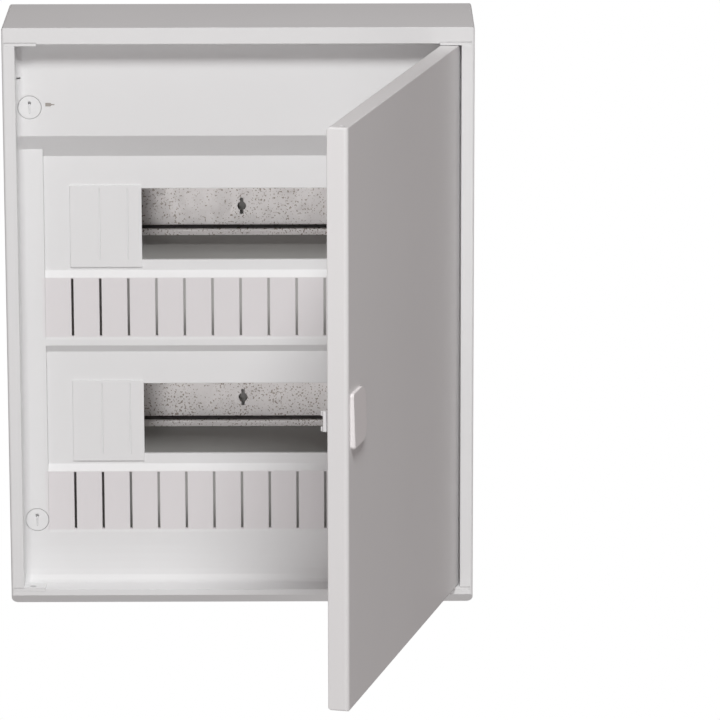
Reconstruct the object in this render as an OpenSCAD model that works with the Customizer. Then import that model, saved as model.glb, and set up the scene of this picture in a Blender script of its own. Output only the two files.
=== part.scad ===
// Surface-mounted distribution board for two rows of DIN modules, with a hinged door.
// Millimetres. X runs to the right, Y into the wall and Z up, and the origin is the
// middle of the face that lies on the wall. A "depth" is measured back from the rim.

/* [Case] */
// Overall width
case_w = 290; // [286:1:330]
// Overall height
case_h = 368; // [364:1:420]
// Overall depth from the wall to the front rim
case_d = 85; // [85:1:110]
// Wall thickness of the front cover
wall = 2.5; // [2:0.1:3]
// Width of the rim at each side of the door
rim_side = 8; // [7:0.1:10]
// Height of the rim above the door
rim_top = 10.2; // [9:0.1:14]
// Height of the rim below the door
rim_bottom = 9.8; // [9:0.1:14]
// Bevel along the bottom front edge
bottom_bevel = 6.2; // [3:0.1:6.6]
// Radius of the two bottom corners
bottom_corner_r = 4; // [3:0.5:6]
// Radius of the two top corners
top_corner_r = 1.5; // [0.5:0.1:3]
// Radius along the two front side edges
side_edge_r = 1.6; // [0.5:0.1:2.5]
// Gap between the cover's rear edge and the wall
cover_rear_gap = 0.4; // [0.2:0.1:1]

/* [Front relief] */
// Depth of the upper field
field_depth = 15.5; // [15.5:0.5:20]
// Depth of the margins and of the label strips
margin_depth = 22; // [21.5:0.5:23]
// Depth of the two module pockets
pocket_depth = 25.5; // [25:0.5:26]
// Width of the margin beside the pockets
margin_w = 15; // [10:0.5:18]
// Height of the slope from the upper field to the first pocket
field_slope_h = 14.6; // [12:0.1:18]
// Height of a pocket above the middle of its row
pocket_above = 43.4; // [40:0.1:44]
// Height of a pocket below the middle of its row
pocket_below = 29.3; // [29.3:0.1:32]
// Height of the ledge under a pocket
ledge_h = 4.2; // [3:0.1:5]
// Height of the flat of a label strip
label_h = 38; // [36:0.1:38.5]
// How far a label strip is sunk below the margin
label_sink = 0.3; // [0.3:0.1:1.2]
// Height of the slope that ends a label strip
label_slope_h = 1.6; // [1:0.1:4]
// Height of the slope from a label strip to the next pocket
pocket_slope_h = 4.7; // [4:0.1:6]
// Height of the cove above the bottom rim
cove_h = 28.6; // [12:0.1:29]
// Depth of the cove
cove_d = 8; // [4:0.1:8]
// Radius of the fillets beside the panel
side_fillet_r = 4; // [2:0.1:4.5]
// Width of the two upper seal slots
seal_slot_top_w = 2.4; // [2:0.1:4]
// Width of the two lower seal slots
seal_slot_bottom_w = 3.8; // [2:0.1:5]
// Height of the upper seal slots
seal_slot_h = 1; // [0.6:0.1:1.5]
// Distance of the upper seal slots from the case's top
seal_slot_top = 34; // [30:0.5:40]
// Width of the lower seal slots from front to back
seal_slot_d = 2.6; // [2:0.1:3]
// Distance of the lower seal slots from the side of the opening
seal_slot_inset = 6.4; // [6:0.1:12]

/* [Module rows] */
// Pitch of one DIN module
module_pitch = 17.5; // [17:0.1:17.8]
// Modules in one row
modules = 12; // [10:1:12]
// Distance between the middles of the two rows
row_pitch = 125; // [125:1:132]
// How far the rows lie below the middle of the case
rows_drop = 7; // [5:0.5:12]
// Height of the windows that the modules look out of
window_h = 45.5; // [45:0.1:47]
// Gap between the end modules and the window
window_gap = 0.5; // [0.2:0.1:1]
// Width of a label slit
slit_w = 1.5; // [0.8:0.1:2]
// Length of a label slit
slit_l = 37; // [20:0.5:37]

/* [Blanking strips] */
// Modules that one blanking strip closes
blank_modules = 2.5; // [1:0.5:5]
// How far a blanking strip reaches above the window
blank_above = 2.1; // [1.5:0.1:4]
// How far a blanking strip reaches below the window
blank_below = 4.4; // [2:0.1:6]
// How far a blanking strip reaches past the window's side
blank_side = 0.4; // [0.2:0.1:1]
// Thickness of a blanking strip in front of the pocket
blank_t = 1; // [0.8:0.1:2]
// Width of the break lines between modules
break_w = 0.8; // [0.4:0.1:1]
// Depth of the break lines
break_depth = 0.5; // [0.2:0.1:0.6]
// Clearance of the strip's feet in the window
blank_fit = 0.1; // [0.05:0.05:0.3]
// Thickness of the strip's feet
blank_foot_t = 1.6; // [1.2:0.1:2.5]
// Catch of the feet behind the window's edge
blank_catch = 0.9; // [0.5:0.1:1.2]

/* [DIN rails] */
// Width of the rail across its lips
rail_h = 35; // [35:0.5:36]
// Depth of the rail
rail_depth = 7.5; // [6:0.5:8]
// Sheet thickness of the rail
rail_t = 1; // [0.8:0.1:1.5]
// Clear width between the rail's legs
rail_mouth = 25; // [24:0.5:26]
// Inner radius of the rail's bends
rail_bend_r = 0.8; // [0.4:0.1:1]
// Rail length beyond the last module, each end
rail_over = 17; // [14:0.5:18]
// Height of the pads under the rails over the back
rail_pad_h = 2.5; // [1.5:0.1:3]
// Diameter of the round middle of the rail's centre slot
rail_eye_d = 5.6; // [4:0.1:6]
// Width of the rail's centre slot
rail_slot_w = 2.15; // [1.5:0.05:3]
// Length of the rail's centre slot
rail_slot_l = 10.5; // [8:0.5:14]

/* [Rail screws] */
// Distance of the rail screws from the rail's end
rail_screw_inset = 7; // [6:0.5:10]
// Shank diameter of the rail screws
rail_screw_d = 4; // [3:0.5:5]
// Head diameter of the rail screws
rail_screw_head_d = 8; // [7:0.5:9]
// Head height of the rail screws
rail_screw_head_t = 2.4; // [1.5:0.1:3]
// Diameter of the pads under the rails
rail_pad_d = 14; // [12:1:20]

/* [Base plate] */
// Thickness of the back
back_t = 2.5; // [2:0.1:2.5]
// Thickness of the upstand round the back
base_wall = 2; // [1.5:0.1:3]
// Height of the upstand from the wall face
base_wall_h = 32; // [20:1:40]
// Clearance between the upstand and the cover
base_fit = 0.4; // [0.3:0.1:0.8]
// Diameter of the wall screw holes
wall_hole_d = 5.5; // [4:0.5:6.5]
// Horizontal distance between the wall screw holes
wall_hole_span_x = 220; // [200:1:230]
// Vertical distance between the wall screw holes
wall_hole_span_z = 330; // [320:1:334]
// Diameter of the knock-outs behind the rails' centre slots
knockout_d = 9; // [7:0.5:12]
// Skin that closes a knock-out
knockout_skin = 0.6; // [0.4:0.1:1]
// Diameter of the bosses round the wall screw holes
wall_boss_d = 13; // [11:1:16]
// Height of those bosses over the back
wall_boss_h = 2; // [1:0.5:4]
// Width of the cable windows in the back
cable_window_w = 90; // [60:1:110]
// Height of the cable windows in the back
cable_window_h = 16; // [12:1:17]
// Distance from the case's top to the middle of the upper cable window
cable_window_top = 66; // [64:1:68]
// Distance from the case's bottom to the middle of the lower cable window
cable_window_bottom = 15; // [15:1:30]
// Thickness of the ribs round the cable windows
rib_t = 1.5; // [1:0.1:2.5]
// Height of those ribs over the back
rib_h = 2; // [1:0.1:2.2]

/* [Door] */
// Depth of the door
door_t = 12.4; // [10:0.1:12.4]
// Wall thickness of the door
door_wall = 2.2; // [1.8:0.1:3]
// Gap between the door and the rim at each side
door_gap_side = 0.6; // [0.5:0.05:1]
// Gap between the door and the rim above and below
door_gap_end = 1.6; // [1.6:0.05:2]
// Radius of the door's front edges
door_edge_r = 2.5; // [1:0.1:3]
// Radius of the door's edge beside the hinge
hinge_edge_r = 4.4; // [4:0.1:4.4]
// Radius of the door's rear edge, all round
door_rear_r = 0.5; // [0.2:0.1:0.8]
// Radius of the door's corners seen from the front
door_corner_r = 1; // [0.5:0.1:2]
// Distance of the pivot from the door's hinge side
pivot_in = 5; // [5:0.1:7]
// Depth of the pivot behind the door's front
pivot_depth = 4.4; // [4.4:0.1:5]
// Opening angle that is drawn, from the closed door
door_angle = 75; // [0:1:100]

/* [Hinges] */
// Diameter of the hinge pins
pin_d = 4; // [3:0.1:4.5]
// Radial clearance of a pin in the door
pin_clearance = 0.08; // [0.03:0.01:0.1]
// Radial clearance of a pin in its plate and in the cover
pin_seat_clearance = 0.03; // [0.01:0.01:0.05]
// Length of the pin inside the door
pin_reach = 7; // [5:0.5:8]
// Length of the pin inside the cover
pin_root = 4; // [3:0.5:5]
// Outer diameter of the door's pivot bosses
pivot_boss_d = 8.4; // [7.5:0.1:8.6]
// Length of the door's pivot bosses
pivot_boss_l = 10; // [8:0.5:14]
// Length of a hinge plate along the rim
plate_l = 19.6; // [16:0.1:22]
// How far a hinge plate reaches into the side rim
plate_tail = 6.3; // [3:0.1:6.5]
// Thickness of a hinge plate
plate_t = 2; // [1.5:0.1:3]
// Depth of a hinge plate from the front
plate_depth = 12; // [10:0.5:13]
// How far a hinge plate stands out of the rim
plate_proud = 1.2; // [0.4:0.1:1.2]
// Setback of a hinge plate behind the rim's front
plate_setback = 0.3; // [0.1:0.1:1]
// Clearance of a hinge plate in its seat
plate_fit = 0.05; // [0.02:0.01:0.1]

/* [Door handle] */
// Width of the handle pad
handle_w = 27.4; // [24:0.2:30]
// Height of the handle pad
handle_h = 32.8; // [24:0.2:36]
// How far the handle pad's lower end stands out of the door
handle_proud = 3; // [2:0.1:4]
// How much less its upper end stands out
handle_lean = 0.9; // [0:0.1:1]
// Distance of the handle pad from the door's free edge
handle_inset = 5; // [4:0.1:8]
// Radius of the handle pad's two inner corners
handle_r = 9; // [4:0.5:11]
// Radius of the handle pad's two outer corners
handle_edge_r = 2; // [1:0.1:3]
// Chamfer round the front of the handle pad
handle_chamfer = 0.7; // [0.3:0.1:1]
// Width of the stem behind the handle pad
stem_w = 9; // [7:0.5:10]
// Height of the stem behind the handle pad
stem_h = 14; // [11:0.5:18]
// Length of the stem behind the door's skin
stem_l = 3.5; // [3:0.1:5]
// Clearance of the stem in the door and in the clip
stem_fit = 0.05; // [0.02:0.01:0.1]

/* [Door latch clip] */
// Thickness of the clip's base and of its fingers
clip_t = 1.8; // [1.4:0.1:2.2]
// Height of the clip over both of its fingers
clip_h = 19; // [18:0.5:24]
// Height over the two fingers
fingers_h = 11.6; // [9:0.2:14]
// Notch between the two fingers
finger_slot = 6.6; // [2:0.2:7]
// Depth of that notch
finger_notch = 1.5; // [1:0.1:3]
// How far the fingers stand behind the door
finger_reach = 4.5; // [3:0.1:4.5]
// How far the barbs stand out of the fingers
barb = 1.6; // [0.8:0.1:2]
// Gap between a finger and the door's side wall
finger_gap = 0.3; // [0.2:0.1:0.6]
// Height of the catch pocket in the rim
catch_h = 16; // [14:0.5:20]
// Depth of the catch pocket into the rim
catch_depth = 1.2; // [0.8:0.1:2]
// Width of the catch pocket from front to back
catch_w = 4.5; // [3:0.1:5]

/* [Cover screws] */
// Distance of the cover screws from the rim's inner side
screw_inset = 7.7; // [7.7:0.1:10]
// Distance of the upper cover screws from the case's top
screw_top = 52.5; // [48:0.5:58]
// Distance of the lower cover screws from the case's bottom
screw_bottom = 49.5; // [44:0.5:54]
// Head diameter
screw_head_d = 14.2; // [13:0.1:14.6]
// Head thickness
screw_head_t = 3; // [2.5:0.1:4]
// Radial gap round the head
screw_head_gap = 0.25; // [0.15:0.05:0.5]
// How far the head lies below its field
screw_sink = 0.2; // [0.1:0.1:0.5]
// Shank diameter
screw_shank_d = 8; // [6:0.5:9]
// Radial clearance of the shank in the cover
screw_clearance = 0.08; // [0.03:0.01:0.1]
// Play along the screw at the head and at the lug
screw_play = 0.3; // [0.2:0.1:0.5]
// Distance from the head's seat to the column on the base
screw_reach = 30; // [24:0.5:34]
// Width of the driver slot
driver_slot_w = 0.9; // [0.6:0.1:1.5]
// Length of the driver slot
driver_slot_l = 7.6; // [6:0.1:10]
// Diameter of the mark at the end of the driver slot
driver_mark_d = 2.1; // [1.5:0.1:3]
// Depth of the driver slot
driver_slot_depth = 1.2; // [0.8:0.1:2]
// Depth of the mark at its end
driver_mark_depth = 2.6; // [0.8:0.1:4]

/* [Bayonet] */
// Length of the locking lug over both ends
lug_l = 13.4; // [12:0.1:15]
// Width of the locking lug
lug_w = 3.2; // [2.5:0.1:4]
// Thickness of the locking lug
lug_t = 3; // [2:0.1:4]
// Clearance round the lug in the column
lug_fit = 0.5; // [0.3:0.1:0.8]
// Thickness of the column's slotted end
column_cap_t = 4; // [3:0.1:6]
// Wall thickness of the column
column_wall = 2.2; // [1.8:0.1:2.4]

/* [Terminal bars] */
// Ways of one terminal bar
bar_ways = 10; // [6:1:10]
// Pitch of the ways
bar_pitch = 8.8; // [7.5:0.1:9]
// Height of the bars' cross-section
bar_h = 9; // [8:0.5:11]
// Depth of the bars' cross-section
bar_t = 8; // [7:0.5:9]
// Diameter of the wire holes
wire_hole_d = 5; // [4:0.1:5.5]
// Diameter of the clamp screws
clamp_screw_d = 3.5; // [3:0.1:4]
// Head diameter of the clamp screws
clamp_head_d = 6; // [5:0.1:6.5]
// Head height of the clamp screws
clamp_head_t = 2; // [1.5:0.1:3]
// Distance from the case's middle plane to a bar
bar_side = 12; // [8:0.5:14]
// Drop of the bars below the upper wall screw holes
bar_drop = 18; // [15:0.5:20]
// Depth of the bars' front
bar_depth = 54; // [46:0.5:58]
// Thickness of the bar holder's web and ends
holder_t = 2.5; // [2:0.1:3]
// Height of the holder's legs along Z
holder_leg_h = 12; // [10:0.5:14]
// Length of the holder's feet along X
holder_foot_l = 9; // [8.5:0.5:10]
// Diameter of the holder screws
holder_screw_d = 3; // [2.5:0.5:3.5]
// Head diameter of the holder screws
holder_head_d = 6; // [5:0.5:6]
// Head height of the holder screws
holder_head_t = 2; // [1.5:0.1:3]
// Diametral clearance of the fixed screws in their holes
screw_fit = 0.1; // [0.05:0.01:0.2]

/* [Hidden] */
$fn = 48;
eps = 1;
arc_steps = 8;

front_y = -case_d;
opening_x = case_w / 2 - rim_side;
opening_top = case_h / 2 - rim_top;
opening_bottom = -case_h / 2 + rim_bottom;
inner_w = case_w - 2 * wall;
inner_h = case_h - 2 * wall;
back_face_y = -back_t;

pocket_x = opening_x - margin_w;
row_span = modules * module_pitch;
row_zs = [row_pitch / 2 - rows_drop, -row_pitch / 2 - rows_drop];
window_w = row_span + 2 * window_gap;
label_end = row_zs[1] - pocket_below - ledge_h - label_h - label_slope_h;
cove_start = min(opening_bottom + cove_h, label_end - 1);
cove_front = margin_depth - cove_d;
slit_top = pocket_below + ledge_h + 0.5 * (label_h - slit_l);

rail_back_y = back_face_y - rail_pad_h;
rail_front_y = rail_back_y - rail_depth;
rail_l = row_span + 2 * rail_over;
rail_screw_x = rail_l / 2 - rail_screw_inset;
rail_screw_shank = rail_t + rail_pad_h + 0.6 * back_t;

door_x = opening_x - door_gap_side;
door_top = opening_top - door_gap_end;
door_bottom = opening_bottom + door_gap_end;
door_h = door_top - door_bottom;
door_z = (door_top + door_bottom) / 2;
pivot_x = door_x - pivot_in;
pivot_y = front_y + pivot_depth;

screw_x = opening_x - screw_inset;
screw_z = [case_h / 2 - screw_top, -case_h / 2 + screw_bottom];
screw_well = screw_sink + screw_head_t + screw_play;
chamber_d = lug_l + 2 * lug_fit;
column_d = chamber_d + 2 * column_wall;

bar_l = bar_ways * bar_pitch;
bar_x = bar_side + holder_t + bar_l / 2;
bar_y = front_y + bar_depth;
bar_z = wall_hole_span_z / 2 - bar_drop;

white = "whitesmoke";
zinc = "silver";

// ---- Ways to extrude an outline ----

// An outline drawn in Y and Z, extruded along X about the middle plane
module across(w) {
  rotate([90, 0, 90]) linear_extrude(w, center = true) children();
}

// An outline drawn in X and Z, extruded from y back by d
module facing(y, d) {
  translate([0, y + d, 0]) rotate([90, 0, 0]) linear_extrude(d) children();
}

// A cylinder from y back by l
module pin_y(x, y, z, d, l) {
  translate([x, y, z]) rotate([-90, 0, 0]) cylinder(d = d, h = l);
}

// A rectangle with its own radius at the two upper and the two lower corners
module outline(w, h, r_top, r_bottom) {
  for (s = [-1, 1]) {
    translate([s * (w / 2 - r_top), h / 2 - r_top]) circle(r_top);
    translate([s * (w / 2 - r_bottom), -h / 2 + r_bottom]) circle(r_bottom);
  }
  translate([-w / 2 + r_top, h / 2 - 2 * r_top]) square([w - 2 * r_top, 2 * r_top]);
  translate([-w / 2 + r_bottom, -h / 2]) square([w - 2 * r_bottom, 2 * r_bottom]);
  translate([-w / 2, -h / 2 + r_bottom]) square([w, h - r_top - r_bottom]);
}

module both_sides() {
  children();
  mirror([1, 0, 0]) children();
}

// ---- Front cover ----

// The cove over the bottom rim, a quarter ellipse from the margin to the rim
function cove(grow) = [
  for (i = [0 : arc_steps])
    let (a = 90 * i / arc_steps)
      [cove_front + grow + cove_d * cos(a), cove_start - grow - cove_h * sin(a)]
];

// Depth and height along the panel, from top to bottom, beside the pockets
function margin_line(grow) = concat(
  [
    [field_depth + grow, case_h / 2],
    [field_depth + grow, row_zs[0] + pocket_above + field_slope_h],
    [margin_depth + grow, row_zs[0] + pocket_above + field_slope_h
      * (pocket_depth - margin_depth) / (pocket_depth - field_depth)]
  ],
  cove(grow)
);

// The same line through the pockets and the label strips
function row_line(z, grow) = [
  [pocket_depth + grow, z + pocket_above],
  [pocket_depth + grow, z - pocket_below],
  [margin_depth + label_sink + grow, z - pocket_below - ledge_h],
  [margin_depth + label_sink + grow, z - pocket_below - ledge_h - label_h],
  [margin_depth + grow, z - pocket_below - ledge_h - label_h - label_slope_h]
];

function panel_line(grow) = concat(
  [
    [field_depth + grow, case_h / 2],
    [field_depth + grow, row_zs[0] + pocket_above + field_slope_h]
  ],
  row_line(row_zs[0], grow),
  [[margin_depth + grow, row_zs[1] + pocket_above + pocket_slope_h]],
  row_line(row_zs[1], grow),
  cove(grow)
);

// What lies in front of such a line, down to height z_end
module in_front_of(line, z_end) {
  last = line[len(line) - 1][0];
  points = concat(line, [[last, z_end], [-eps, z_end], [-eps, case_h / 2]]);
  polygon([for (p = points) [front_y + p[0], p[1]]]);
}

// What lies behind such a line
module behind(line) {
  last = line[len(line) - 1][0];
  points = concat(line, [[last, -case_h / 2], [case_d + eps, -case_h / 2],
                         [case_d + eps, case_h / 2]]);
  polygon([for (p = points) [front_y + p[0], p[1]]]);
}

// The whole case as one block, with its rounded and bevelled edges
module case_block() {
  intersection() {
    facing(front_y, case_d - cover_rear_gap)
      outline(case_w, case_h, top_corner_r, bottom_corner_r);
    linear_extrude(case_h + 2 * eps, center = true)
      translate([0, front_y + case_d / 2])
        mirror([0, 1]) outline(case_w, case_d, side_edge_r, side_edge_r);
    across(case_w + 2 * eps)
      polygon([
        [eps, case_h / 2], [front_y, case_h / 2],
        [front_y, -case_h / 2 + bottom_bevel],
        [front_y + bottom_bevel, -case_h / 2], [eps, -case_h / 2]
      ]);
  }
}

module door_opening(w, line) {
  intersection() {
    across(w) in_front_of(line, opening_bottom);
    translate([-case_w / 2, -2 * case_d, opening_bottom])
      cube([case_w, 2 * case_d, opening_top - opening_bottom]);
  }
}

module cover_cavity() {
  intersection() {
    facing(front_y, case_d + eps)
      outline(inner_w, inner_h, top_corner_r / 2, bottom_corner_r / 2);
    union() {
      across(2 * (pocket_x + wall)) behind(panel_line(wall));
      both_sides() translate([pocket_x + wall + case_w / 4, 0, 0])
        across(case_w / 2) behind(margin_line(wall));
    }
  }
}

// One section of the fillet between the margin at depth d and the side of the rim
function fillet_section(d, z) = concat(
  [[opening_x + eps, front_y + d + eps, z],
   [opening_x - side_fillet_r, front_y + d + eps, z]],
  [
    for (i = [0 : arc_steps])
      let (a = 90 * i / arc_steps)
        [opening_x - side_fillet_r * (1 - sin(a)), front_y + d - side_fillet_r * (1 - cos(a)), z]
  ],
  [[opening_x + eps, front_y + d - side_fillet_r, z]]
);

// A solid through equal sections, each a loop of points
module loft(sections) {
  n = len(sections[0]);
  last = len(sections) - 1;
  sides = [
    for (i = [0 : last - 1], j = [0 : n - 1])
      let (a = i * n + j, b = i * n + (j + 1) % n)
        each [[a, b, a + n], [b, b + n, a + n]]
  ];
  ends = [[for (j = [n - 1 : -1 : 0]) j], [for (j = [0 : n - 1]) last * n + j]];
  polyhedron([for (s = sections) each s], concat(sides, ends));
}

module side_fillet() {
  line = margin_line(0);
  first = [line[0][0], opening_top + eps / 2];
  inner = [for (i = [1 : len(line) - 1]) line[i]];
  loft([for (p = concat([first], inner)) fillet_section(p[0], p[1])]);
}

module screw_boss(z, depth) {
  pin_y(screw_x, front_y + depth + wall / 2, z,
        screw_head_d + 2 * screw_head_gap + 2 * wall, screw_well + wall / 2);
}

module screw_bore(z, depth) {
  pin_y(screw_x, front_y + depth - 2 * side_fillet_r, z,
        screw_head_d + 2 * screw_head_gap, screw_well + 2 * side_fillet_r);
  pin_y(screw_x, front_y + depth, z, screw_shank_d + 2 * screw_clearance, 4 * wall + screw_well);
}

// The seat of one hinge plate, with the blind hole of its pin
module hinge_seat(side, upper) {
  tail_x = opening_x + plate_tail + plate_fit;
  edge = upper ? opening_top - plate_proud : -opening_bottom - plate_proud;
  mirror([side < 0 ? 1 : 0, 0, 0]) mirror([0, 0, upper ? 0 : 1]) {
    translate([tail_x - plate_l - 2 * plate_fit, front_y - eps, edge])
      cube([plate_l + 2 * plate_fit, plate_depth + plate_fit + eps, plate_t + plate_fit]);
    translate([pivot_x, pivot_y, edge])
      cylinder(d = pin_d + 2 * pin_seat_clearance, h = plate_t + pin_root + plate_fit);
  }
}

module row_cuts(z) {
  translate([-window_w / 2, front_y + margin_depth, z - window_h / 2])
    cube([window_w, 4 * wall, window_h]);
  for (i = [0 : modules])
    translate([-row_span / 2 + i * module_pitch - slit_w / 2, front_y + margin_depth - eps,
               z - slit_top - slit_l])
      cube([slit_w, 3 * wall, slit_l]);
}

// Slots for sealing wire: one in the upper fillet, one down into the bottom rim
module seal_slots() {
  translate([opening_x - seal_slot_top_w, front_y + field_depth - side_fillet_r,
             case_h / 2 - seal_slot_top - seal_slot_h / 2])
    cube([seal_slot_top_w, side_fillet_r + 2 * wall, seal_slot_h]);
  translate([opening_x - seal_slot_inset - seal_slot_bottom_w / 2, front_y + wall,
             opening_bottom - wall])
    cube([seal_slot_bottom_w, seal_slot_d, 2 * wall]);
}

module catch_pocket() {
  translate([-opening_x - catch_depth, front_y + door_t + eps, door_z - catch_h / 2])
    cube([catch_depth + eps, catch_w, catch_h]);
}

module front_cover() {
  color(white) difference() {
    union() {
      difference() {
        case_block();
        cover_cavity();
        door_opening(2 * pocket_x, panel_line(0));
        door_opening(2 * opening_x, margin_line(0));
      }
      both_sides() {
        side_fillet();
        screw_boss(screw_z[0], field_depth);
        screw_boss(screw_z[1], margin_depth);
      }
    }
    both_sides() {
      screw_bore(screw_z[0], field_depth);
      screw_bore(screw_z[1], margin_depth);
      seal_slots();
    }
    for (z = row_zs) row_cuts(z);
    for (side = [-1, 1], upper = [true, false]) hinge_seat(side, upper);
    catch_pocket();
  }
}

// ---- Base plate ----

module column_place(z, depth) {
  cap_y = front_y + depth + screw_well + screw_reach;
  translate([screw_x, cap_y, z]) rotate([-90, 0, 0]) children();
}

module column(depth) {
  cylinder(d = column_d, h = case_d - depth - screw_well - screw_reach - back_t / 2);
}

// The keyed hole in the column's end and the chamber that the lug turns in
module column_bore() {
  translate([0, 0, -eps]) cylinder(d = screw_shank_d + 2 * lug_fit, h = column_cap_t + 2 * eps);
  translate([0, 0, column_cap_t / 2])
    cube([lug_l + 2 * lug_fit, lug_w + 2 * lug_fit, column_cap_t + 2 * eps], center = true);
  translate([0, 0, column_cap_t]) cylinder(d = chamber_d, h = case_d);
}

module wall_holes() {
  for (sx = [-1, 1], sz = [-1, 1])
    pin_y(sx * wall_hole_span_x / 2, -back_t - wall_boss_h - eps, sz * wall_hole_span_z / 2,
          wall_hole_d, back_t + wall_boss_h + 2 * eps);
}

module rail_pads() {
  for (sx = [-1, -0.5, 0.5, 1], z = row_zs)
    pin_y(sx * rail_screw_x, rail_back_y, z, rail_pad_d, rail_pad_h + back_t / 2);
}

// Blind holes in front of which the rails' centre slots lie
module knockouts() {
  for (z = row_zs)
    pin_y(0, back_face_y - eps, z, knockout_d, eps + back_t - knockout_skin);
}

module rail_screw_holes() {
  for (sx = [-1, 1], z = row_zs)
    pin_y(sx * rail_screw_x, rail_front_y, z, rail_screw_d + screw_fit,
          rail_depth - rail_t + rail_screw_shank + screw_fit);
}

module holder_screw_holes() {
  for (side = [-1, 1], end = [-1, 1])
    pin_y(side * bar_x + end * holder_screw_offset(), back_face_y - eps, bar_z,
          holder_screw_d + screw_fit, eps + holder_screw_depth() + screw_fit);
}

// The outlines of the two cable windows, grown on every side
module cable_windows(grow) {
  for (z = [case_h / 2 - cable_window_top, -case_h / 2 + cable_window_bottom])
    translate([0, z])
      square([cable_window_w + 2 * grow, cable_window_h + 2 * grow], center = true);
}

module base_plate() {
  w = inner_w - 2 * base_fit;
  h = inner_h - 2 * base_fit;
  color(white) difference() {
    union() {
      facing(back_face_y, back_t) outline(w, h, top_corner_r / 2, bottom_corner_r / 2);
      facing(-base_wall_h, base_wall_h) difference() {
        outline(w, h, top_corner_r / 2, bottom_corner_r / 2);
        square([w - 2 * base_wall, h - 2 * base_wall], center = true);
      }
      both_sides() {
        column_place(screw_z[0], field_depth) column(field_depth);
        column_place(screw_z[1], margin_depth) column(margin_depth);
      }
      rail_pads();
      for (sx = [-1, 1], sz = [-1, 1])
        pin_y(sx * wall_hole_span_x / 2, -back_t - wall_boss_h, sz * wall_hole_span_z / 2,
              wall_boss_d, wall_boss_h + back_t / 2);
      facing(back_face_y - rib_h, rib_h + back_t / 2) cable_windows(rib_t);
    }
    both_sides() {
      column_place(screw_z[0], field_depth) column_bore();
      column_place(screw_z[1], margin_depth) column_bore();
    }
    wall_holes();
    knockouts();
    rail_screw_holes();
    holder_screw_holes();
    facing(back_face_y - rib_h - eps, back_t + rib_h + 2 * eps) cable_windows(0);
  }
}

// ---- DIN rails ----

module quarter_ring(r) {
  intersection() {
    difference() {
      circle(r + rail_t);
      circle(r);
    }
    square(r + rail_t);
  }
}

// Upper half of the hat section, drawn in Y and Z with the web's middle at Z = 0
module rail_half_section() {
  leg = rail_mouth / 2;
  web_y = rail_back_y - rail_t;
  r = rail_bend_r;
  translate([web_y, 0]) square([rail_t, leg - r]);
  translate([web_y - r, leg - r]) quarter_ring(r);
  translate([rail_front_y + rail_t + r, leg])
    square([rail_depth - 2 * rail_t - 2 * r, rail_t]);
  translate([rail_front_y + rail_t + r, leg + rail_t + r]) rotate(180) quarter_ring(r);
  translate([rail_front_y, leg + rail_t + r])
    square([rail_t, rail_h / 2 - leg - rail_t - r]);
}

module din_rail(z) {
  color(zinc) translate([0, 0, z]) difference() {
    across(rail_l) {
      rail_half_section();
      mirror([0, 1]) rail_half_section();
    }
    pin_y(0, rail_front_y, 0, rail_eye_d, 2 * rail_depth);
    translate([0, rail_back_y, 0]) cube([rail_slot_w, 4 * rail_t, rail_slot_l], center = true);
    for (sx = [-1, 1])
      pin_y(sx * rail_screw_x, rail_front_y, 0, rail_screw_d + screw_fit, 2 * rail_depth);
  }
}

module din_rail_top() { din_rail(row_zs[0]); }

module din_rail_bottom() { din_rail(row_zs[1]); }

module rail_screws() {
  web_y = rail_back_y - rail_t;
  color(zinc) for (sx = [-1, 1], z = row_zs) difference() {
    union() {
      pin_y(sx * rail_screw_x, web_y - rail_screw_head_t, z, rail_screw_head_d, rail_screw_head_t);
      pin_y(sx * rail_screw_x, web_y - eps, z, rail_screw_d, eps + rail_screw_shank);
    }
    translate([sx * rail_screw_x, web_y - rail_screw_head_t, z])
      cube([rail_screw_head_d + eps, rail_screw_head_t, eps], center = true);
  }
}

// ---- Blanking strips ----

module blank_strip(z) {
  w = blank_modules * module_pitch - window_gap;
  x0 = -row_span / 2 + window_gap;
  plate_x = -row_span / 2 - window_gap - blank_side;
  plate_z = -window_h / 2 - blank_below;
  plate_y = front_y + pocket_depth - blank_t;
  foot_z = window_h / 2 - blank_fit;
  color(white) translate([0, 0, z]) difference() {
    union() {
      translate([plate_x, plate_y, plate_z])
        cube([x0 + w - plate_x, blank_t, blank_above + window_h + blank_below]);
      for (s = [-1, 1]) {
        translate([x0, plate_y, min(s * foot_z, s * (foot_z - blank_foot_t))])
          cube([w, blank_t + wall + blank_fit + blank_foot_t, blank_foot_t]);
        translate([x0, plate_y + blank_t + wall + blank_fit,
                   min(s * (foot_z - eps), s * (foot_z + blank_catch))])
          cube([w, blank_foot_t, blank_catch + eps]);
      }
    }
    for (i = [1 : ceil(blank_modules) - 1])
      translate([-row_span / 2 + i * module_pitch - break_w / 2, plate_y - eps, -window_h / 2])
        cube([break_w, break_depth + eps, window_h]);
  }
}

module blank_strip_top() { blank_strip(row_zs[0]); }

module blank_strip_bottom() { blank_strip(row_zs[1]); }

// ---- Terminal bars ----

function way_x(i) = (i - (bar_ways - 1) / 2) * bar_pitch;
function holder_screw_offset() = bar_l / 2 + holder_t + holder_foot_l / 2;
function holder_screw_depth() = 0.6 * back_t;

// A brass bar with a wire hole and a clamp screw hole for each way
module terminal_bar(side) {
  color("goldenrod") translate([side * bar_x, bar_y, bar_z]) difference() {
    translate([-bar_l / 2, 0, -bar_h / 2]) cube([bar_l, bar_t, bar_h]);
    for (i = [0 : bar_ways - 1]) {
      translate([way_x(i), bar_t - wire_hole_d / 2 - 1.2, 0])
        cylinder(d = wire_hole_d, h = 2 * bar_h, center = true);
      pin_y(way_x(i), -eps, 0, clamp_screw_d + screw_fit, eps + bar_t / 2);
    }
  }
}

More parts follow.
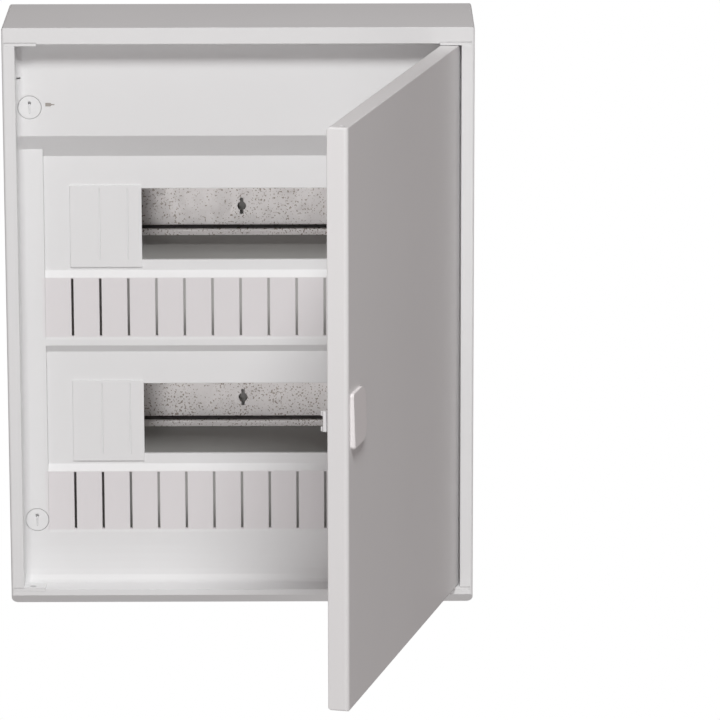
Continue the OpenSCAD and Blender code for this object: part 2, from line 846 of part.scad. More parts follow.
module terminal_screws(side) {
  shank = bar_t - wire_hole_d - 1.2 + 0.5;
  color(zinc) translate([side * bar_x, bar_y, bar_z])
    for (i = [0 : bar_ways - 1]) difference() {
      union() {
        pin_y(way_x(i), -clamp_head_t, 0, clamp_head_d, clamp_head_t);
        pin_y(way_x(i), -eps, 0, clamp_screw_d, eps + shank);
      }
      translate([way_x(i), -clamp_head_t, 0])
        cube([clamp_head_d + eps, clamp_head_t, 0.8], center = true);
    }
}

// A cradle behind the bar on two legs that end in screwed feet
module terminal_holder(side) {
  web_y = bar_y + bar_t;
  leg = back_face_y - web_y;
  color(side < 0 ? "royalblue" : "seagreen") translate([side * bar_x, 0, bar_z]) difference() {
    union() {
      translate([-bar_l / 2 - holder_t, web_y, -holder_leg_h / 2])
        cube([bar_l + 2 * holder_t, holder_t, holder_leg_h]);
      for (s = [-1, 1]) mirror([s < 0 ? 1 : 0, 0, 0]) {
        translate([bar_l / 2, bar_y, -holder_leg_h / 2])
          cube([holder_t, bar_t + leg, holder_leg_h]);
        translate([bar_l / 2, back_face_y - holder_t, -holder_leg_h / 2])
          cube([holder_t + holder_foot_l, holder_t, holder_leg_h]);
      }
    }
    for (s = [-1, 1])
      pin_y(s * holder_screw_offset(), back_face_y - holder_t - eps, 0,
            holder_screw_d + screw_fit, holder_t + 2 * eps);
  }
}

module holder_screws() {
  head_y = back_face_y - holder_t - holder_head_t;
  color(zinc) for (side = [-1, 1], end = [-1, 1])
    translate([side * bar_x + end * holder_screw_offset(), 0, bar_z]) difference() {
      union() {
        pin_y(0, head_y, 0, holder_head_d, holder_head_t);
        pin_y(0, head_y + eps, 0, holder_screw_d,
              holder_head_t - eps + holder_t + holder_screw_depth());
      }
      translate([0, head_y, 0]) cube([holder_head_d + eps, holder_head_t, 0.8], center = true);
    }
}

module neutral_bar() { terminal_bar(-1); }

module neutral_bar_holder() { terminal_holder(-1); }

module neutral_bar_screws() { terminal_screws(-1); }

module earth_bar() { terminal_bar(1); }

module earth_bar_holder() { terminal_holder(1); }

module earth_bar_screws() { terminal_screws(1); }

// ---- Hinges ----

module hinge_plate(side, upper) {
  edge = upper ? opening_top - plate_proud : -opening_bottom - plate_proud;
  color(white) mirror([side < 0 ? 1 : 0, 0, 0]) mirror([0, 0, upper ? 0 : 1])
    difference() {
      translate([opening_x + plate_tail - plate_l, front_y + plate_setback, edge])
        cube([plate_l, plate_depth - plate_setback, plate_t]);
      translate([pivot_x, pivot_y, edge - eps])
        cylinder(d = pin_d + 2 * pin_seat_clearance, h = plate_t + 2 * eps);
    }
}

module hinge_plate_top_right() { hinge_plate(1, true); }

module hinge_plate_bottom_right() { hinge_plate(1, false); }

module hinge_plate_top_left() { hinge_plate(-1, true); }

module hinge_plate_bottom_left() { hinge_plate(-1, false); }

module hinge_pin(edge) {
  inner = edge - plate_proud - pin_reach;
  color(zinc) translate([pivot_x, pivot_y, inner])
    cylinder(d = pin_d, h = pin_reach + plate_t + pin_root);
}

module hinge_pin_top() { hinge_pin(opening_top); }

module hinge_pin_bottom() { mirror([0, 0, 1]) hinge_pin(-opening_bottom); }

// ---- Cover screws ----

// A quarter-turn screw, drawn along Z with the front of its head at 0
module quarter_turn_screw() {
  lug_z = screw_head_t + screw_play + screw_reach + column_cap_t + screw_play;
  color(white) difference() {
    union() {
      cylinder(d = screw_head_d, h = screw_head_t);
      cylinder(d = screw_shank_d, h = lug_z + lug_t + lug_fit);
      translate([0, 0, lug_z + lug_t / 2]) intersection() {
        cube([lug_w, lug_l, lug_t], center = true);
        cylinder(d = lug_l, h = lug_t, center = true);
      }
    }
    translate([-driver_slot_w / 2, -driver_slot_l / 2, -eps])
      cube([driver_slot_w, driver_slot_l, driver_slot_depth + eps]);
    translate([0, -driver_slot_l / 2 + driver_mark_d / 2, -eps])
      cylinder(d = driver_mark_d, h = driver_mark_depth + eps);
  }
}

module cover_screw(side, z, depth) {
  translate([side * screw_x, front_y + depth + screw_sink, z])
    rotate([-90, 0, 0]) quarter_turn_screw();
}

module cover_screw_top_left() { cover_screw(-1, screw_z[0], field_depth); }

module cover_screw_top_right() { cover_screw(1, screw_z[0], field_depth); }

module cover_screw_bottom_left() { cover_screw(-1, screw_z[1], margin_depth); }

module cover_screw_bottom_right() { cover_screw(1, screw_z[1], margin_depth); }

// ---- Door ----

// Turns what is drawn with the door closed to the drawn opening angle
module on_door() {
  translate([pivot_x, pivot_y, 0]) rotate([0, 0, door_angle])
    translate([-pivot_x, -pivot_y, 0]) children();
}

// The door's outline from above: front corners rounded, the hinge side more
module door_plan() {
  y0 = front_y;
  translate([-door_x + door_edge_r, y0 + door_edge_r]) circle(door_edge_r);
  translate([door_x - hinge_edge_r, y0 + hinge_edge_r]) circle(hinge_edge_r);
  translate([-door_x + door_rear_r, y0 + door_t - door_rear_r]) circle(door_rear_r);
  translate([door_x - door_rear_r, y0 + door_t - door_rear_r]) circle(door_rear_r);
  translate([-door_x + door_edge_r, y0]) square([2 * door_x - door_edge_r - hinge_edge_r, door_t]);
  translate([-door_x, y0 + door_edge_r]) square([2 * door_x - hinge_edge_r, door_t - door_edge_r
    - door_rear_r]);
  translate([-door_x + door_rear_r, y0 + hinge_edge_r])
    square([2 * door_x - 2 * door_rear_r, door_t - hinge_edge_r]);
  translate([0, y0 + hinge_edge_r]) square([door_x, door_t - hinge_edge_r - door_rear_r]);
}

// The door's outline from the side, in Y and Z
module door_side() {
  translate([front_y + door_t / 2, door_z]) rotate(90)
    outline(door_h, door_t, door_rear_r, door_edge_r);
}

module door_shell() {
  difference() {
    intersection() {
      linear_extrude(2 * case_h, center = true) door_plan();
      across(case_w) door_side();
      facing(front_y - eps, door_t + 2 * eps) translate([0, door_z])
        outline(2 * door_x, door_h, door_corner_r, door_corner_r);
    }
    translate([-door_x + door_wall, front_y + door_wall, door_bottom + door_wall])
      cube([2 * (door_x - door_wall), door_t, door_h - 2 * door_wall]);
  }
}

module pivot_boss() {
  translate([pivot_x, pivot_y, door_top - pivot_boss_l])
    cylinder(d = pivot_boss_d, h = pivot_boss_l - door_wall / 2);
}

module pivot_bore() {
  translate([pivot_x, pivot_y, door_top - pin_reach - 1.5])
    cylinder(d = pin_d + 2 * pin_clearance, h = pin_reach + 1.5 + eps);
}

// One copy in each corner of the door, because it can be hung on either side
module four_corners() {
  both_sides() {
    children();
    translate([0, 0, 2 * door_z]) mirror([0, 0, 1]) children();
  }
}

module stem_outline(fit) {
  translate([stem_x(), door_z]) square([stem_w + 2 * fit, stem_h + 2 * fit], center = true);
}

function stem_x() = -door_x + door_wall + finger_gap + clip_t + stem_w / 2 + clip_t;

module door_panel() {
  color(white) on_door() difference() {
    union() {
      door_shell();
      four_corners() pivot_boss();
    }
    four_corners() pivot_bore();
    facing(front_y - eps, 2 * door_wall) stem_outline(stem_fit);
  }
}

// The handle pad's outline: straight towards the free edge, round the other way
module pad_outline(inset) {
  w = handle_w - 2 * inset;
  h = handle_h - 2 * inset;
  translate([-door_x + handle_inset + handle_w / 2, door_z]) rotate(-90)
    outline(h, w, handle_r - inset, handle_edge_r - inset);
}

module door_handle() {
  color(white) on_door() {
    difference() {
      hull() {
        facing(front_y - handle_proud + handle_chamfer, handle_proud - handle_chamfer)
          pad_outline(0);
        facing(front_y - handle_proud, handle_chamfer) pad_outline(handle_chamfer);
      }
      // The pad's face leans back towards its upper end
      translate([-door_x, front_y - handle_proud, door_z - handle_h / 2])
        rotate([-atan(handle_lean / handle_h), 0, 0])
          translate([0, -handle_proud, -handle_h / 2])
            cube([2 * handle_inset + handle_w, handle_proud, 2 * handle_h]);
    }
    facing(front_y - eps, eps + door_wall + stem_l) stem_outline(0);
  }
}

// A clip pushed on the stem, with two fingers that catch in the rim
module door_latch_clip() {
  skin_y = front_y + door_wall;
  finger_x = -door_x + door_wall + finger_gap;
  finger_l = door_t - door_wall + finger_reach;
  base_l = 2 * clip_t + stem_w + 2 * clip_t;
  color(white) on_door() difference() {
    union() {
      translate([finger_x, skin_y, door_z - clip_h / 2]) cube([base_l, clip_t, clip_h]);
      translate([finger_x, skin_y, door_z - fingers_h / 2]) cube([clip_t, finger_l, fingers_h]);
      translate([finger_x, skin_y + finger_l, door_z - fingers_h / 2]) linear_extrude(fingers_h)
        polygon([[clip_t, 0], [-barb, -0.4 * finger_reach], [-barb, -0.8 * finger_reach],
                 [clip_t, -0.8 * finger_reach]]);
    }
    facing(skin_y - eps, clip_t + 2 * eps) stem_outline(stem_fit);
    translate([finger_x - 2 * barb, skin_y + finger_l - finger_notch, door_z - finger_slot / 2])
      cube([clip_t + 4 * barb, finger_l, finger_slot]);
  }
}

base_plate();
front_cover();
din_rail_top();
din_rail_bottom();
rail_screws();
blank_strip_top();
blank_strip_bottom();
neutral_bar();
neutral_bar_holder();
neutral_bar_screws();
earth_bar();
earth_bar_holder();
earth_bar_screws();
holder_screws();
hinge_plate_top_right();
hinge_plate_bottom_right();
hinge_plate_top_left();
hinge_plate_bottom_left();
hinge_pin_top();
hinge_pin_bottom();
cover_screw_top_left();
cover_screw_top_right();
cover_screw_bottom_left();
cover_screw_bottom_right();
door_panel();
door_handle();
door_latch_clip();
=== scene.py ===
# %% [markdown]
# # A wall-hung distribution board with its door open
#
# The board is a flat plastic box for two rows of clip-on modules. All of its solid parts
# come from the packed CAD frame: they already lie in place, in metres, with X to the
# right, Y into the wall and Z up. This lesson adds what CAD doesn't hold: the camera, the
# light, the finish of every surface and the fine marks. We read the frame first, because
# every later place is worked out from it.

import bpy
import numpy as np
from mathutils import Euler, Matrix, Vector


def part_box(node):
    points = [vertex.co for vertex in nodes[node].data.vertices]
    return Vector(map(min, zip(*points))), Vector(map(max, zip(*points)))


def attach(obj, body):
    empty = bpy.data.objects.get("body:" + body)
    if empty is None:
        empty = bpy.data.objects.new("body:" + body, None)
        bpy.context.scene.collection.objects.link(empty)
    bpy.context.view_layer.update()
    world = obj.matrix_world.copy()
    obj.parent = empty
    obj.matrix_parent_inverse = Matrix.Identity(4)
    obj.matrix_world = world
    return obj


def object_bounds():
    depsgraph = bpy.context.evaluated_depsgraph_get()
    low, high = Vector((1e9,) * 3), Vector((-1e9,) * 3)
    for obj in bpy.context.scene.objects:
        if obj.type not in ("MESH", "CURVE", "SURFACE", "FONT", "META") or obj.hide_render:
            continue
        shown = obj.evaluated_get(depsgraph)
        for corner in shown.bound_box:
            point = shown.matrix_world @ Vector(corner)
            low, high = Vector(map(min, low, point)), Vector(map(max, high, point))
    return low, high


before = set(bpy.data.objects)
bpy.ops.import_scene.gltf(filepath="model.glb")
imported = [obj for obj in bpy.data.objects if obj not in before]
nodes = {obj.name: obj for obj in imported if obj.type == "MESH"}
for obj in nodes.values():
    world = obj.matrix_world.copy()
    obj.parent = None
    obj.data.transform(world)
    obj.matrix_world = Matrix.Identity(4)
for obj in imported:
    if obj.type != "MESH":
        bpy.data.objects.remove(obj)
cad_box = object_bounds()
MM = 0.001
print("CAD nodes:", len(nodes), "box:", [tuple(round(v, 4) for v in c) for c in cad_box])

# %% [markdown]
# ## Camera
#
# A long lens from more than three metres away keeps the box's sides nearly parallel. The
# camera stands above the box and looks down on it by about fourteen degrees, so the top
# shows as a thin band. A camera in Blender looks along its own -Z, so a quarter turn
# about X makes it look level, and the pitch is taken off that.

# %% Camera
CAMERA_PLACE = (0.0603, -3.1296, 0.7294)
CAMERA_PITCH = 13.93
CAMERA_YAW = -0.265
CAMERA_ROLL = -0.09
CAMERA_LENS = 252.2
SENSOR = 36.0


def make_camera():
    """A camera aimed by three plain angles: yaw about Z, then pitch, then roll."""
    data = bpy.data.cameras.new("camera")
    data.lens = CAMERA_LENS
    data.sensor_width = SENSOR
    data.clip_end = 50.0
    camera = bpy.data.objects.new("camera", data)
    camera.location = CAMERA_PLACE
    level = Euler((np.radians(90.0 - CAMERA_PITCH), 0.0, np.radians(CAMERA_YAW)))
    roll = Euler((0.0, 0.0, np.radians(CAMERA_ROLL)))
    camera.rotation_euler = (level.to_matrix() @ roll.to_matrix()).to_euler()
    bpy.context.scene.collection.objects.link(camera)
    bpy.context.scene.camera = camera
    return camera


camera = make_camera()
print("camera", tuple(round(v, 3) for v in camera.location))

# %% [markdown]
# ## Light and floor
#
# White plastic on white shows its shape only by its shadows. The main light is a round
# lamp 2.4 metres away, above and a little to the right. A broad, weak one low on the
# left fills the shadows, and a dim warm room adds a little from all round. The pale
# floor, half a metre below, bounces some light up under the rims. Only the camera sees
# room and floor as plain white.

# %% Light and floor
KEY_PLACE = (0.266, -1.716, 1.697)
KEY_SIZE = 0.62
KEY_POWER = 34.6
FILL_PLACE = (-0.52, -2.99, -0.15)
FILL_SIZE = 1.1
FILL_POWER = 8.0
SKY_STRENGTH = 0.15
SKY_COLOR = (1.0, 0.86, 0.845)
FLOOR_BELOW = 0.5
FLOOR_HALF = 30.0
MIDDLE = (0.0, -0.04, 0.0)


def aim(obj, target):
    """Turn an object so that its -Z points at the target."""
    away = obj.location - Vector(target)
    obj.rotation_euler = away.to_track_quat("Z", "Y").to_euler()


def make_area(name, place, target, size, power, color=(1.0, 1.0, 1.0)):
    data = bpy.data.lights.new(name, "AREA")
    data.shape = "DISK"
    data.size = size
    data.energy = power
    data.color = color
    light = bpy.data.objects.new(name, data)
    light.location = place
    aim(light, target)
    bpy.context.scene.collection.objects.link(light)
    return light


def make_world(strength, color):
    """A tinted room as a light, but full white where the camera sees it."""
    world = bpy.data.worlds.new("studio")
    world.use_nodes = True
    tree = world.node_tree
    room = tree.nodes["Background"]
    room.inputs["Color"].default_value = (*color, 1.0)
    room.inputs["Strength"].default_value = strength
    seen = tree.nodes.new("ShaderNodeBackground")
    seen.inputs["Color"].default_value = (1.0, 1.0, 1.0, 1.0)
    mix = tree.nodes.new("ShaderNodeMixShader")
    path = tree.nodes.new("ShaderNodeLightPath")
    tree.links.new(path.outputs["Is Camera Ray"], mix.inputs["Fac"])
    tree.links.new(room.outputs["Background"], mix.inputs[1])
    tree.links.new(seen.outputs["Background"], mix.inputs[2])
    tree.links.new(mix.outputs["Shader"], tree.nodes["World Output"].inputs["Surface"])
    bpy.context.scene.world = world


def make_floor(below):
    """A pale floor, wide enough to fill the view."""
    half = FLOOR_HALF
    low = cad_box[0].z - below
    mesh = bpy.data.meshes.new("floor")
    corners = [
        (-half, -half, low), (half, -half, low), (half, half, low), (-half, half, low),
    ]
    mesh.from_pydata(corners, [], [(0, 1, 2, 3)])
    floor = bpy.data.objects.new("floor", mesh)
    bpy.context.scene.collection.objects.link(floor)
    return floor


key = make_area("key", KEY_PLACE, MIDDLE, KEY_SIZE, KEY_POWER)
fill = make_area("fill", FILL_PLACE, MIDDLE, FILL_SIZE, FILL_POWER)
make_world(SKY_STRENGTH, SKY_COLOR)
floor = make_floor(FLOOR_BELOW)
bpy.context.scene.view_settings.view_transform = "Standard"
print("key", KEY_POWER, "W, fill", FILL_POWER, "W, sky", SKY_STRENGTH)

# %% [markdown]
# ## Materials
#
# Every finish is a node material on Object coordinates, so a pattern keeps its real
# scale and doesn't swim when a part is turned in its joint. `Nodes` is a small helper
# that makes the nodes and joins them. A Mix node has sockets of one name for numbers
# and for colours, so its colour sockets are told by their places.

# %% A helper for materials
MIX_SHARE = 0
MIX_FIRST = 6
MIX_SECOND = 7
MIX_RESULT = 2


class Nodes:
    """One material: its shader, and short ways to add nodes and join them."""

    def __init__(self, name, color, roughness, metallic=0.0, specular=0.5):
        self.material = bpy.data.materials.new(name)
        self.material.use_nodes = True
        self.tree = self.material.node_tree
        self.shader = self.tree.nodes["Principled BSDF"]
        self.set(self.shader, "Base Color", (*color, 1.0))
        self.set(self.shader, "Roughness", roughness)
        self.set(self.shader, "Metallic", metallic)
        self.set(self.shader, "Specular IOR Level", specular)
        self.coords = self.tree.nodes.new("ShaderNodeTexCoord").outputs["Object"]

    def set(self, node, socket, value):
        node.inputs[socket].default_value = value

    def link(self, source, node, socket):
        self.tree.links.new(source, node.inputs[socket])

    def noise(self, scale, detail=2.0):
        """Soft random values from 0 to 1, with `scale` lumps to a metre."""
        node = self.tree.nodes.new("ShaderNodeTexNoise")
        self.set(node, "Scale", scale)
        self.set(node, "Detail", detail)
        self.link(self.coords, node, "Vector")
        return node.outputs["Fac"]

    def ramp(self, source, low, high, start=0.0, end=1.0):
        """Values of source from start to end become colours from low to high."""
        node = self.tree.nodes.new("ShaderNodeValToRGB")
        node.color_ramp.elements[0].position = start
        node.color_ramp.elements[1].position = end
        node.color_ramp.elements[0].color = (*low, 1.0)
        node.color_ramp.elements[1].color = (*high, 1.0)
        self.link(source, node, "Fac")
        return node.outputs["Color"]

    def span(self, source, low, high):
        """Values of source from 0 to 1 become numbers from low to high."""
        node = self.tree.nodes.new("ShaderNodeMapRange")
        self.set(node, "To Min", low)
        self.set(node, "To Max", high)
        self.link(source, node, "Value")
        return node.outputs["Result"]

    def math(self, operation, first, second):
        """One sum of two numbers, each a socket or a plain value."""
        node = self.tree.nodes.new("ShaderNodeMath")
        node.operation = operation
        for place, value in enumerate((first, second)):
            if isinstance(value, float):
                self.set(node, place, value)
            else:
                self.link(value, node, place)
        return node.outputs["Value"]

    def mix(self, share, first, second):
        """first where share is 0 and second where it is 1; colours or sockets."""
        node = self.tree.nodes.new("ShaderNodeMix")
        node.data_type = "RGBA"
        self.link(share, node, MIX_SHARE)
        for place, value in ((MIX_FIRST, first), (MIX_SECOND, second)):
            if isinstance(value, tuple):
                self.set(node, place, (*value, 1.0))
            else:
                self.link(value, node, place)
        return node.outputs[MIX_RESULT]


print("a Mix node's colours go in at", MIX_FIRST, "and", MIX_SECOND)

# %% [markdown]
# ### Patterns that follow the shape
#
# `Finish` adds the ways that ask about the surface itself: how far a point lies along
# an axis, which way its face looks, and how near an edge is.

# %% Patterns that follow the shape


class Finish(Nodes):
    """A material with bands by place, faces told by their tilt, soft edges and bumps."""

    def band(self, axis, middle, half, soft=0.0004):
        """1 within half of middle along one Object axis, fading to 0 over soft."""
        split = self.tree.nodes.new("ShaderNodeSeparateXYZ")
        self.link(self.coords, split, "Vector")
        offset = self.tree.nodes.new("ShaderNodeMath")
        offset.operation = "SUBTRACT"
        self.link(split.outputs[axis], offset, 0)
        self.set(offset, 1, middle)
        away = self.tree.nodes.new("ShaderNodeMath")
        away.operation = "ABSOLUTE"
        self.link(offset.outputs["Value"], away, 0)
        fade = self.tree.nodes.new("ShaderNodeMapRange")
        self.link(away.outputs["Value"], fade, "Value")
        self.set(fade, "From Min", half)
        self.set(fade, "From Max", half + soft)
        self.set(fade, "To Min", 1.0)
        self.set(fade, "To Max", 0.0)
        return fade.outputs["Result"]

    def looking_up(self):
        """1 on faces that look up and 0 on upright ones, in the piece's own axes."""
        place = self.tree.nodes.new("ShaderNodeTexCoord")
        split = self.tree.nodes.new("ShaderNodeSeparateXYZ")
        self.link(place.outputs["Normal"], split, "Vector")
        steep = self.tree.nodes.new("ShaderNodeMapRange")
        self.set(steep, "From Min", 0.5)
        self.set(steep, "From Max", 0.9)
        self.link(split.outputs["Z"], steep, "Value")
        return steep.outputs["Result"]

    def soft_edges(self, radius):
        """Shading that rounds every sharp edge by radius metres."""
        node = self.tree.nodes.new("ShaderNodeBevel")
        node.samples = 4
        self.set(node, "Radius", radius)
        return node.outputs["Normal"]

    def bump(self, height, depth, before=None):
        """Tilts the shading as if the surface rose by height times depth metres."""
        node = self.tree.nodes.new("ShaderNodeBump")
        self.set(node, "Strength", 1.0)
        self.set(node, "Distance", depth)
        self.link(height, node, "Height")
        if before:
            self.link(before, node, "Normal")
        self.link(node.outputs["Normal"], self.shader, "Normal")


print("ways to shape a finish:", [way for way in vars(Finish) if way[0] != "_"])

# %% [markdown]
# ### Moulded plastic
#
# The cover, door, strips and screws are white plastic from a spark-eroded mould: a fine,
# even grain with a soft sheen. Two noises make it. A fine one bumps the surface, and a
# broad one shifts the tone and the gloss a little, as thick and thin walls do. The edges
# are rounded in the shading alone, by less than a millimetre.

# %% Moulded plastic
WHITE = (0.868, 0.872, 0.875)
EDGE = 0.0007
TONE_LUMPS = 9.0
GRAIN_LUMPS = 2600.0
GLOSS_SHIFT = (-0.03, 0.05)


def moulded(name, color, roughness=0.42, grain=0.000012, shift=0.015, edge=EDGE):
    """Plastic with grain metres deep, whose tone wanders by the share shift."""
    finish = Finish(name, color, roughness)
    broad = finish.noise(TONE_LUMPS, 3.0)
    darker = tuple(c * (1.0 - shift) for c in color)
    finish.tone = finish.ramp(broad, darker, color, 0.35, 0.65)
    finish.link(finish.tone, finish.shader, "Base Color")
    gloss = finish.span(broad, roughness + GLOSS_SHIFT[0], roughness + GLOSS_SHIFT[1])
    finish.link(gloss, finish.shader, "Roughness")
    finish.bump(finish.noise(GRAIN_LUMPS, 2.0), grain, finish.soft_edges(edge))
    return finish


print("plastic", WHITE, "with edges of", EDGE / MM, "mm")

# %% [markdown]
# ### Label fields
#
# The fields with the slits are a shade pinker and duller than the rest of the cover. The
# tint is laid on by place: `band` gives 1 inside a range of one axis, and the product of
# two bands is a rectangle.

# %% Label fields
ROW_HEIGHTS = (0.0555, -0.0695)
LABEL_DROP = 0.0525
LABEL_HALF = (0.1215, 0.0185)
LABEL_SOFT = (0.003, 0.001)
LABEL_TINT = (0.833, 0.81, 0.82)


def cover_finish():
    finish = moulded("white_cover", WHITE)
    tone = finish.tone
    for height in ROW_HEIGHTS:
        wide = finish.band("X", 0.0, LABEL_HALF[0], LABEL_SOFT[0])
        high = finish.band("Z", height - LABEL_DROP, LABEL_HALF[1], LABEL_SOFT[1])
        tone = finish.mix(finish.math("MULTIPLY", wide, high), tone, LABEL_TINT)
    finish.link(tone, finish.shader, "Base Color")
    return finish


print("label fields at", [round(height - LABEL_DROP, 4) for height in ROW_HEIGHTS])

# %% [markdown]
# ### Zinc plate
#
# Rails and screws are plated steel. Large soft flowers of zinc crystals shift the tone, a
# fine noise cut off near its low end leaves brown specks, and a broad one gathers the
# specks in patches. On the real rail the step between web and lip looks like a black
# line, most likely because it is in deep shade. More light reaches it here, so the
# finish itself makes the faces that look up nearly black. The Normal output tells how
# far a face looks up: its Z is 1 on a level face and 0 on an upright one. Screws, pins
# and bars share the finish, so the tops of those are as dark.

# %% Zinc plate
DEEP_SHADE = (0.03, 0.028, 0.025)
FLOWERS = 170.0
FLOWER_SHARE = 0.95
PATCH_LUMPS = 60.0
PATCH_SHIFT = 0.12
SPECK_LUMPS = 800.0
SPECK_CUT = (0.35, 0.42)
BROWN_SHARES = (1.0, 0.88, 0.78)
DENT_LUMPS = 900.0
DENT_DEPTH = 0.00002


def zinc(name, color=(0.97, 0.945, 0.935), speck=0.42, edge=0.0002):
    """Plated steel; speck is how dark the brown specks are, as a share of the colour."""
    finish = Finish(name, color, 0.42, metallic=0.9)
    level = finish.looking_up()
    flowers = finish.tree.nodes.new("ShaderNodeTexVoronoi")
    finish.set(flowers, "Scale", FLOWERS)
    finish.link(finish.coords, flowers, "Vector")
    darker = tuple(c * FLOWER_SHARE for c in color)
    tone = finish.ramp(flowers.outputs["Color"], darker, color)
    patches = finish.span(finish.noise(PATCH_LUMPS, 3.0), -PATCH_SHIFT, PATCH_SHIFT)
    specks = finish.math("ADD", finish.noise(SPECK_LUMPS, 3.0), patches)
    dark = finish.ramp(specks, (1.0,) * 3, (0.0,) * 3, *SPECK_CUT)
    brown = tuple(c * speck * share for c, share in zip(color, BROWN_SHARES))
    tone = finish.mix(dark, tone, brown)
    tone = finish.mix(level, tone, DEEP_SHADE)
    finish.link(tone, finish.shader, "Base Color")
    gloss = finish.span(flowers.outputs["Color"], 0.4, 0.48)
    finish.link(gloss, finish.shader, "Roughness")
    finish.bump(finish.noise(DENT_LUMPS), DENT_DEPTH, finish.soft_edges(edge))
    return finish


print("zinc flowers", round(1000.0 / FLOWERS, 1), "mm across, level faces", DEEP_SHADE)

# %% [markdown]
# ### One finish for each kind of piece
#
# Pieces of one material share it, so a change of colour is made in one place. The base
# plate is painted greyer than the cover, as painted shade: it keeps the plate dark behind
# the windows.

# %% One finish for each kind of piece
FINISHES = {
    "cover": cover_finish(),
    "door": moulded("white_door", (0.876, 0.870, 0.871)),
    # painted highlight: the handle's white is lighter than the door's, so its face looks
    # brighter than the door around it
    "handle": moulded("white_handle", (0.94, 0.91, 0.91), roughness=0.36),
    "clip": moulded("white_clip", WHITE, roughness=0.36),
    # painted shade: the base plate's grey is darker than its own plastic, so it stays dark
    # behind the windows
    "base": moulded("base_painted_shade", (0.63, 0.625, 0.605), edge=0.0003),
    "strip": moulded("white_strip", WHITE, edge=0.0003),
    "plate": moulded("white_plate", WHITE, edge=0.0003),
    "turn_screw": moulded("white_screw", WHITE, roughness=0.38, edge=0.0003),
    "rail": zinc("zinc_rail"),
    "screw": zinc("zinc_screw"),
    "pin": zinc("pin_steel", (0.6, 0.6, 0.6), speck=0.8),
    "brass": zinc("brass_bar", (0.72, 0.52, 0.22), speck=0.8),
    "blue": moulded("blue_holder", (0.03, 0.14, 0.50)),
    "green": moulded("green_holder", (0.03, 0.30, 0.10)),
}
print("finishes:", sorted(FINISHES))

# %% [markdown]
# ## Dress the CAD nodes
#
# Each node gets one finish, found by its name. The finish lies on the node's mesh and
# changes nothing in it, so the shapes stay as the CAD made them.

# %% Dress the CAD nodes
DRESS = {
    "front_cover": "cover", "base_plate": "base", "door_panel": "door",
    "door_handle": "handle", "door_latch_clip": "clip",
    "blank_strip_top": "strip", "blank_strip_bottom": "strip",
    "din_rail_top": "rail", "din_rail_bottom": "rail",
    "rail_screws": "screw", "holder_screws": "screw",
    "neutral_bar_screws": "screw", "earth_bar_screws": "screw",
    "hinge_pin_top": "pin", "hinge_pin_bottom": "pin",
    "neutral_bar": "brass", "earth_bar": "brass",
    "neutral_bar_holder": "blue", "earth_bar_holder": "green",
}


def dress(node, material):
    """Give a CAD node one material; its mesh stays as it is."""
    node.data.materials.clear()
    node.data.materials.append(material)


def finish_of(name):
    """The key of the finish for a node: listed, or told from its name."""
    if name.startswith("hinge_plate"):
        return "plate"
    if name.startswith("cover_screw"):
        return "turn_screw"
    return DRESS[name]


for name, node in nodes.items():
    dress(node, FINISHES[finish_of(name)].material)
print("dressed", len(nodes), "nodes")

# %% [markdown]
# ### Floor paint
#
# The floor is matt, so that it bounces light evenly, and it shows no shadow: to the
# camera it glows plain white.

# %% Floor paint
FLOOR_PAINT = (0.9, 0.9, 0.9)


def make_floor_finish():
    """Pale matt paint that the camera sees as plain white."""
    finish = Finish("pale_floor", FLOOR_PAINT, 0.9)
    glow = finish.tree.nodes.new("ShaderNodeEmission")
    mix = finish.tree.nodes.new("ShaderNodeMixShader")
    path = finish.tree.nodes.new("ShaderNodeLightPath")
    finish.link(path.outputs["Is Camera Ray"], mix, "Fac")
    finish.tree.links.new(finish.shader.outputs["BSDF"], mix.inputs[1])
    finish.tree.links.new(glow.outputs["Emission"], mix.inputs[2])
    finish.link(mix.outputs["Shader"], finish.tree.nodes["Material Output"], "Surface")
    return finish.material


floor.data.materials.append(make_floor_finish())
print("floor paint", FLOOR_PAINT)

# %% [markdown]
# ## The tool mark
#
# Beside the upper left screw a small mark in grey ink tells what turns it. Ours is a
# plain screwdriver, with a thick handle and a thin blade. The mark is a sheet over two
# parameters, one along the tool and one across it, and it is laid a hair in front of the
# cover so that the two faces don't fight. A ray shot at the cover finds its face.

# %% The tool mark
MARK_START = 0.0098
MARK_LONG = 0.0056
MARK_ABOVE = 0.0018
HANDLE_SHARE = 0.55
SLOPE_SHARE = 0.15
HANDLE_HALF = 0.0011
BLADE_HALF = 0.00035
INK_THICK = 0.00003
STEPS_ALONG = 41
STEPS_ACROSS = 9
RAY_START = -1.0


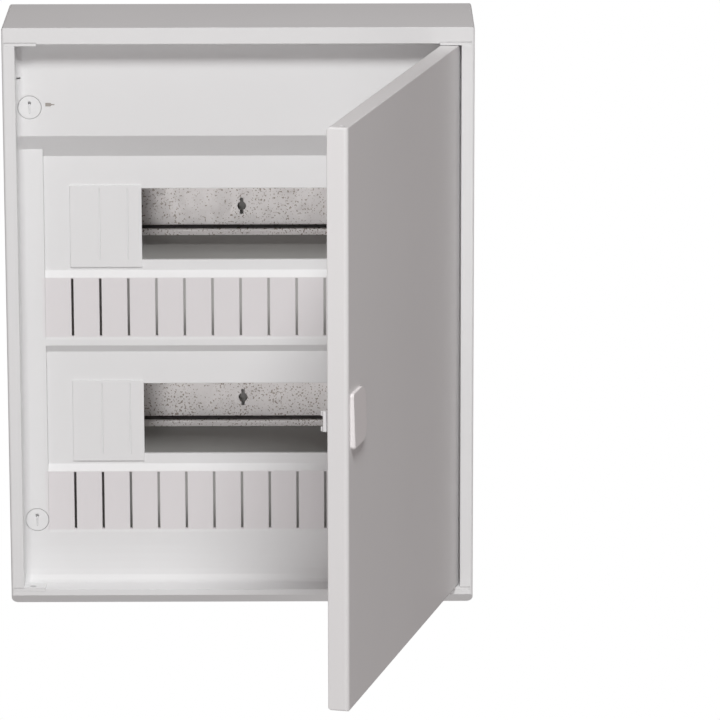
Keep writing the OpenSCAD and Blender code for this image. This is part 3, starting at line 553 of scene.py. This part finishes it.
def ink():
    """Grey-brown print, a little uneven where the pad pressed less."""
    finish = Finish("grey_ink", (0.40, 0.37, 0.34), 0.6)
    pressed = finish.noise(1800.0, 2.0)
    tone = finish.ramp(pressed, (0.47, 0.44, 0.41), (0.36, 0.33, 0.30), 0.35, 0.6)
    finish.link(tone, finish.shader, "Base Color")
    finish.bump(pressed, 0.000005)
    return finish.material


def tool_outline(along):
    """Half the tool's height at a share of its length: handle, then a slope, then blade."""
    slope = np.clip((along - HANDLE_SHARE) / SLOPE_SHARE, 0.0, 1.0)
    return HANDLE_HALF + (BLADE_HALF - HANDLE_HALF) * slope


def make_tool_mark(start, face):
    """x is start + along times length; z is middle + across times half the height."""
    shares = np.linspace(0.0, 1.0, STEPS_ALONG)
    sides = np.linspace(-1.0, 1.0, STEPS_ACROSS)
    along, across = np.meshgrid(shares, sides)
    x = start.x + MARK_LONG * along
    z = start.z + tool_outline(along) * across
    y = np.full_like(x, face - INK_THICK)
    points = np.stack([x, y, z], axis=-1).reshape(-1, 3)
    rows, columns = along.shape
    first = (np.arange(rows - 1)[:, None] * columns + np.arange(columns - 1)).reshape(-1)
    faces = np.stack([first, first + 1, first + columns + 1, first + columns], axis=-1)
    mesh = bpy.data.meshes.new("tool_mark")
    mesh.from_pydata(points.tolist(), [], faces.tolist())
    mark = bpy.data.objects.new("tool_mark", mesh)
    bpy.context.scene.collection.objects.link(mark)
    mark.data.materials.append(ink())
    return mark


screw_low, screw_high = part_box("cover_screw_top_left")
screw_middle = (screw_low + screw_high) / 2.0
mark_start = screw_middle + Vector((MARK_START, 0.0, MARK_ABOVE))
ray_start = Vector((mark_start.x, RAY_START, mark_start.z))
ray_way = Vector((0.0, 1.0, 0.0))
hit, place, *_ = nodes["front_cover"].ray_cast(ray_start, ray_way)
tool_mark = make_tool_mark(mark_start, place.y)
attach(tool_mark, "housing")
print("ray met the cover:", hit, "at", round(place.y, 4))

# %% [markdown]
# ## Finish
